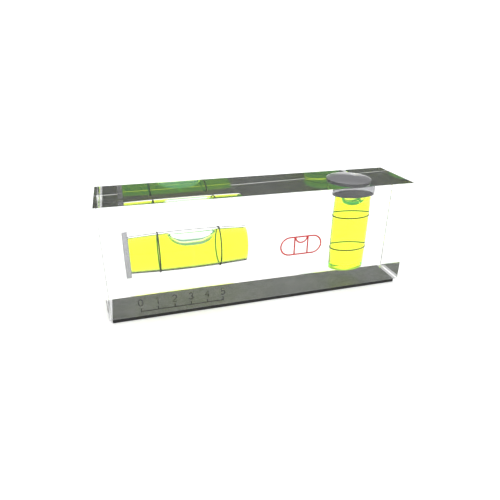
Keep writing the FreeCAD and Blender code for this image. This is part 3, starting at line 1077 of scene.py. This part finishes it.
class LEVEL_OT_marks(bpy.types.Operator):
    """Red vial symbol and the numbered scale on the front face"""

    bl_idname = "pocket_level.marks"
    bl_label = "Marks"

    def execute(self, context):
        block = context.scene.level_block
        colour = colours()
        red = finish_named("symbol_paint", marking_paint, "symbol_paint", colour.symbol)
        dark = finish_named("scale_paint", marking_paint, "scale_paint", colour.scale)
        middle, size = middle_of("vial_symbol"), size_of("vial_symbol")
        stroke, gap = 0.5 * MM, 4.4 * MM
        upright, straight = (size.z - stroke) / 2, (size.x - size.z) / 2
        outline = [
            *[(middle.x + straight + a, middle.z + b) for a, b in arc_points((0, 0), upright, upright, -90, 90, 24)],
            *[(middle.x - straight + a, middle.z + b) for a, b in arc_points((0, 0), upright, upright, 90, 270, 24)],
        ]
        outline.append(outline[0])
        lines = [outline]
        for side in (-1, 1):
            x = middle.x + side * gap / 2
            lines.append([(x, middle.z - upright), (x, middle.z + upright)])
        drop = (gap - stroke) / 2
        lines.append([
            (middle.x + a, middle.z + upright + b) for a, b in arc_points((0, 0), drop, drop, 180, 360, 24)
        ])
        symbol = paint_lines("vial_mark", lines, stroke, size.y, [red])
        on_block(symbol, "red_paint", "vial_symbol")
        low, high = SOLID_BOXES["scale_lines"]
        stroke = 0.3 * MM
        pitch = (high.x - low.x - stroke) / 5
        tree = graduation_tree()
        line_length = high.z - low.z
        depth = high.y - low.y + block.paint_proud
        common = {"Stroke": stroke, "Depth": depth, "Material": dark}
        uprights = grow("scale_uprights", tree, {
            **common, "Count": 6, "Pitch": pitch, "Length": line_length, "Turn": (0.0, 0.0, 0.0),
            "Start": (low.x + stroke / 2, high.y, (low.z + high.z) / 2),
        })
        baseline = grow("scale_baseline", tree, {
            **common, "Count": 1, "Pitch": pitch, "Length": high.x - low.x, "Turn": (0.0, 0.0, math.radians(90)),
            "Start": ((low.x + high.x) / 2, high.y, low.z + stroke / 2),
        })
        on_block(settle("scale_uprights", uprights, [dark]), "dark_paint", "scale_lines")
        on_block(settle("scale_baseline", baseline, [dark]), "dark_paint")
        numerals = []
        tall = block.numeral_height - block.numeral_stroke
        for number in range(6):
            x = low.x + stroke / 2 + number * pitch - 0.3 * tall
            z = high.z + 0.55 * MM + block.numeral_stroke / 2
            for line in numeral_lines(number):
                numerals.append([(x + a * tall, z + b * tall) for a, b in line])
        on_block(
            paint_lines("scale_numerals", numerals, block.numeral_stroke, 0.1 * MM, [dark]), "dark_paint"
        )
        return {"FINISHED"}


class LEVEL_OT_base(bpy.types.Operator):
    """Grey tape bonded to the underside and the rubber magnet sheet under it"""

    bl_idname = "pocket_level.base"
    bl_label = "Tape and magnet"

    def execute(self, context):
        low, high = SOLID_BOXES["adhesive_tape"]
        work = bmesh.new()
        bmesh.ops.create_cube(work, size=1.0)
        for vertex in work.verts:
            vertex.co = Vector(
                low[axis] + (vertex.co[axis] + 0.5) * (high[axis] - low[axis]) for axis in range(3)
            )
            if vertex.co.z > (low.z + high.z) / 2:
                vertex.co.z += FILM
        corners = [edge for edge in work.edges if abs(edge.verts[0].co.z - edge.verts[1].co.z) > 0.05 * MM]
        bmesh.ops.bevel(work, geom=corners, offset=0.4 * MM, segments=4, profile=0.5, affect="EDGES")
        mesh = bpy.data.meshes.new("bonding_tape")
        work.to_mesh(mesh)
        work.free()
        on_block(
            settle("bonding_tape", mesh, [finish_named("tape_adhesive", tape_adhesive)]), "grey_tape", "adhesive_tape"
        )
        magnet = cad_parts["magnet_sheet"]
        magnet.data.materials.clear()
        magnet.data.materials.append(finish_named("rubber_magnet_sheet", rubber_magnet_sheet))
        return {"FINISHED"}


class LEVEL_OT_stage(bpy.types.Operator):
    """Pale floor, soft light and the camera"""

    bl_idname = "pocket_level.stage"
    bl_label = "Stage"

    def execute(self, context):
        studio = context.scene.level_studio
        floor_finish = Finish("pale_floor", Roughness=0.9, Emission_Color=(1, 1, 1, 1), Emission_Strength=0.15)
        floor_finish.speckle(300.0, 0.3, (0.9, 0.9, 0.9, 1), (0.93, 0.93, 0.93, 1))
        work = bmesh.new()
        bmesh.ops.create_grid(work, x_segments=8, y_segments=8, size=4.0)
        mesh = bpy.data.meshes.new("pale_floor")
        work.to_mesh(mesh)
        work.free()
        mesh.materials.append(floor_finish.material)
        floor = bpy.data.objects.new("pale_floor", mesh)
        context.scene.collection.objects.link(floor)
        floor.location.z = CAD_BOX[0].z - 0.1 * MM

        world = bpy.data.worlds.new("soft_studio")
        context.scene.world = world
        world.use_nodes = True
        tree = world.node_tree
        place = add_node(tree, "ShaderNodeTexCoord")
        parts = add_node(tree, "ShaderNodeSeparateXYZ", {0: place.outputs["Generated"]})
        ramp = add_node(tree, "ShaderNodeValToRGB", {"Fac": parts.outputs["Z"]})
        stops = ((0.0, 0.6), (0.09, 0.6), (0.17, 0.12), (0.36, 0.12), (0.55, 0.45), (0.75, 1.0))
        while len(ramp.color_ramp.elements) < len(stops):
            ramp.color_ramp.elements.new(0.5)
        for element, (place_, value) in zip(ramp.color_ramp.elements, stops):
            element.position = place_
            element.color = (value, value, value, 1)
        background = tree.nodes["Background"]
        tree.links.new(ramp.outputs["Color"], background.inputs["Color"])
        background.inputs["Strength"].default_value = studio.light

        turn, rise = studio.azimuth, studio.elevation
        back = Vector((math.sin(turn) * math.cos(rise), -math.cos(turn) * math.cos(rise), math.sin(rise)))
        right = Vector((0, 0, 1)).cross(back).normalized()
        upward = back.cross(right)
        tilted_right = right * math.cos(studio.roll) + upward * math.sin(studio.roll)
        tilted_up = upward * math.cos(studio.roll) - right * math.sin(studio.roll)
        camera = bpy.data.objects.new("camera", bpy.data.cameras.new("camera"))
        context.scene.collection.objects.link(camera)
        axes = Matrix((tilted_right, tilted_up, back)).transposed().to_4x4()
        camera.matrix_world = Matrix.Translation(Vector(studio.eye)) @ axes
        camera.data.sensor_width = 36.0
        camera.data.lens = studio.lens
        camera.data.clip_start = 0.01
        camera.data.clip_end = 20.0
        context.scene.camera = camera

        context.scene.view_settings.view_transform = "Standard"
        bounces = context.scene.cycles
        bounces.max_bounces = 40
        bounces.transmission_bounces = 32
        bounces.transparent_max_bounces = 32
        bounces.glossy_bounces = 12
        return {"FINISHED"}


class LEVEL_PT_workshop(bpy.types.Panel):
    """Pieces of the pocket level"""

    bl_label = "Pocket Level"
    bl_idname = "LEVEL_PT_workshop"
    bl_space_type = "VIEW_3D"
    bl_region_type = "UI"
    bl_category = "Pocket Level"

    def draw(self, context):
        layout = self.layout
        for group in (
            context.scene.level_block, context.scene.level_vials,
            context.scene.level_colours, context.scene.level_studio,
        ):
            box = layout.box()
            for name in group.bl_rna.properties.keys():
                if name not in ("rna_type", "name"):
                    box.prop(group, name)
        for operator in OPERATORS:
            layout.operator(operator.bl_idname)


OPERATORS = (
    LEVEL_OT_acrylic, LEVEL_OT_spirit, LEVEL_OT_bubbles, LEVEL_OT_gauge_rings,
    LEVEL_OT_end_fittings, LEVEL_OT_marks, LEVEL_OT_base, LEVEL_OT_stage,
)
GROUPS = {
    "level_block": BlockSizes, "level_vials": VialSizes,
    "level_colours": FinishColours, "level_studio": StudioSettings,
}


def register():
    """Adds the settings, the operators and the panel."""
    for group in GROUPS.values():
        bpy.utils.register_class(group)
    for name, group in GROUPS.items():
        setattr(bpy.types.Scene, name, bpy.props.PointerProperty(type=group))
    for item in (*OPERATORS, LEVEL_PT_workshop):
        bpy.utils.register_class(item)


def unregister():
    """Takes them away again."""
    for item in reversed((*OPERATORS, LEVEL_PT_workshop)):
        bpy.utils.unregister_class(item)
    for name, group in GROUPS.items():
        delattr(bpy.types.Scene, name)
        bpy.utils.unregister_class(group)


def main():
    """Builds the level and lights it."""
    register()
    bpy.ops.pocket_level.acrylic()
    bpy.ops.pocket_level.spirit()
    bpy.ops.pocket_level.bubbles()
    bpy.ops.pocket_level.gauge_rings()
    bpy.ops.pocket_level.end_fittings()
    bpy.ops.pocket_level.marks()
    bpy.ops.pocket_level.base()
    bpy.ops.pocket_level.stage()
    bpy.context.view_layer.update()


if __name__ == "__main__":
    main()
